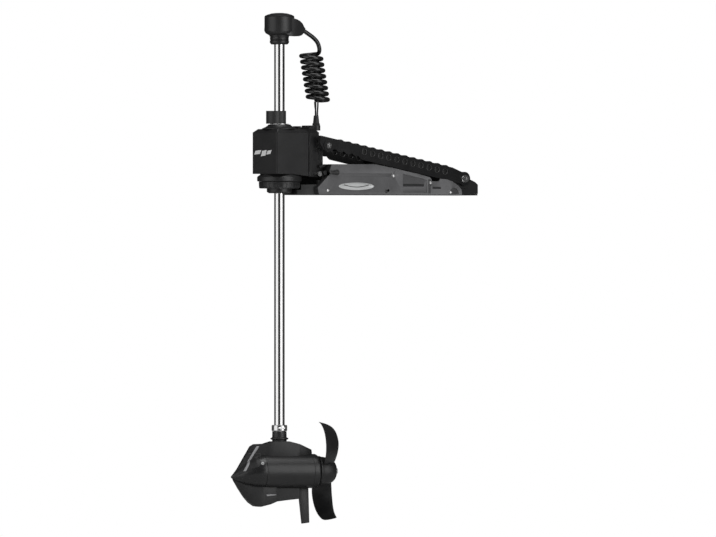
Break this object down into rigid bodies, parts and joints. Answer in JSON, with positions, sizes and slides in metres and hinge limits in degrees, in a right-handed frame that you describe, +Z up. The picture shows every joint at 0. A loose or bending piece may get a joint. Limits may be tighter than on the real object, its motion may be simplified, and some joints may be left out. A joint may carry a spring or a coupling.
{
  "type": "trolling motor",
  "caption": "Bow-mount electric trolling motor: folding deck mount with steering housing, long round shaft, control head on a curly cord, and a torpedo-shaped lower unit with propeller.",
  "frame": {"origin": "centre of the rectangle of four deck bolt holes, on the deck mount's underside", "axes": "+Z up along the shaft when deployed, +X aft along the deck mount away from the shaft, +Y to starboard-side cover"},
  "size_m": [0.8389, 0.1846, 1.456],
  "materials": {
    "base_paint": "satin black powder coat",
    "cover_grey": "fine-grained dark grey moulding",
    "arm_paint": "satin black powder coat",
    "housing_black": "fine-grained black moulding",
    "black_plastic": "plain black moulding",
    "collar_plastic": "ribbed black moulding",
    "fairing_plastic": "semi-gloss dark moulding",
    "motor_black": "semi-gloss black paint",
    "propeller_plastic": "tough black moulding",
    "shaft_steel": "polished stainless tube",
    "bright_steel": "bright stainless",
    "bearing_bronze": "sintered bronze",
    "gear_plastic": "natural acetal",
    "board_green": "solder mask",
    "lead_red": "wire insulation",
    "winding_copper": "lacquered copper",
    "magnet_iron": "bare ferrite and carbon",
    "cord_rubber": "black jacket"
  },
  "bodies": {
    "base": {"base_channel": "base_paint", "front_cradle": "base_paint", "side_cover_left": "cover_grey", "side_cover_right": "cover_grey", "cover_screws": "bright_steel", "rear_pivot_block": "base_paint", "mount_pins": "bright_steel", "power_cable_gland": "black_plastic"},
    "latch": {"latch_lever": "base_paint"},
    "arms": {"upper_arm_left": "arm_paint", "upper_arm_right": "arm_paint", "arm_rear_bushes": "bearing_bronze", "arm_cross_tubes": "arm_paint", "front_pivot_axle": "bright_steel"},
    "links": {"lower_links": "arm_paint"},
    "housing": {"housing_shell": "housing_black", "housing_lid": "housing_black", "housing_bushes": "bearing_bronze", "turret_neck": "black_plastic", "steering_motor_can": "shaft_steel", "steering_board": "board_green", "catch_bolt": "bright_steel", "cord_boot": "cord_rubber", "cord_wires": "cord_rubber", "curly_cord_lower": "cord_rubber"},
    "drive": {"steering_pinion": "shaft_steel"},
    "sleeve": {"steering_sleeve": "black_plastic", "sleeve_bushes": "bearing_bronze", "steering_gear": "gear_plastic", "turret_ring": "black_plastic"},
    "shaft": {"shaft_tube": "shaft_steel", "shaft_leads": "lead_red", "neck_clamp": "black_plastic", "clamp_screws": "bright_steel", "head_shell": "housing_black", "head_cap": "black_plastic", "head_board": "board_green", "head_cord_gland": "cord_rubber", "seals": "cord_rubber", "cord_upper_lead": "cord_rubber", "curly_cord_upper": "cord_rubber", "shaft_clamp_ring": "bright_steel", "shaft_coupling": "black_plastic", "pylon_fairing": "fairing_plastic", "nose_cone": "motor_black", "keel_fairing": "fairing_plastic", "skeg_rail": "fairing_plastic", "skeg": "fairing_plastic", "motor_shell": "motor_black", "tail_bell": "motor_black", "motor_bearings": "shaft_steel", "field_magnets": "magnet_iron", "brush_plate": "black_plastic", "brushes": "magnet_iron"},
    "collar": {"depth_collar": "collar_plastic"},
    "prop": {"armature": "winding_copper", "propeller_axle": "shaft_steel", "propeller": "propeller_plastic", "drive_pin": "bright_steel", "propeller_nut": "bright_steel"}
  },
  "joints": [
    {"name": "fold", "type": "hinge", "parent": "base", "child": "arms", "pos_m": [0.252, 0, 0.0476], "axis": [0, 1, 0], "range_deg": [0, 145]},
    {"name": "link_fold", "type": "hinge", "parent": "base", "child": "links", "pos_m": [0.2205, 0, 0.04], "axis": [0, 1, 0], "range_deg": [0, 147.1]},
    {"name": "tilt", "type": "hinge", "parent": "arms", "child": "housing", "pos_m": [-0.26, 0, 0.141], "axis": [0, 1, 0], "range_deg": [-51, 0]},
    {"name": "steer", "type": "hinge", "parent": "housing", "child": "sleeve", "pos_m": [-0.38, 0, 0.1], "axis": [0, 0, 1], "range_deg": [-143, 187]},
    {"name": "steer_drive", "type": "hinge", "parent": "housing", "child": "drive", "pos_m": [-0.34147, 0.03233, 0.08], "axis": [0, 0, 1], "range_deg": [-749, 573]},
    {"name": "depth", "type": "slide", "parent": "sleeve", "child": "shaft", "axis": [0, 0, 1], "range_m": [0, 0.55], "deforming": ["curly_cord_upper"]},
    {"name": "collar_slide", "type": "slide", "parent": "shaft", "child": "collar", "axis": [0, 0, 1], "range_m": [0, 0.15]},
    {"name": "prop_spin", "type": "hinge", "parent": "shaft", "child": "prop", "pos_m": [-0.38, 0, -0.787], "axis": [0.9272, -0.3746, 0], "continuous": true},
    {"name": "latch_swing", "type": "hinge", "parent": "base", "child": "latch", "pos_m": [-0.25, -0.0495, 0.028], "axis": [0, 1, 0], "range_deg": [-28, 0]}
  ],
  "couplings": [
    {"joint": "link_fold", "follows": "fold", "ratio": 1.0138},
    {"joint": "tilt", "follows": "fold", "ratio": -0.35},
    {"joint": "steer_drive", "follows": "steer", "ratio": -4}
  ]
}
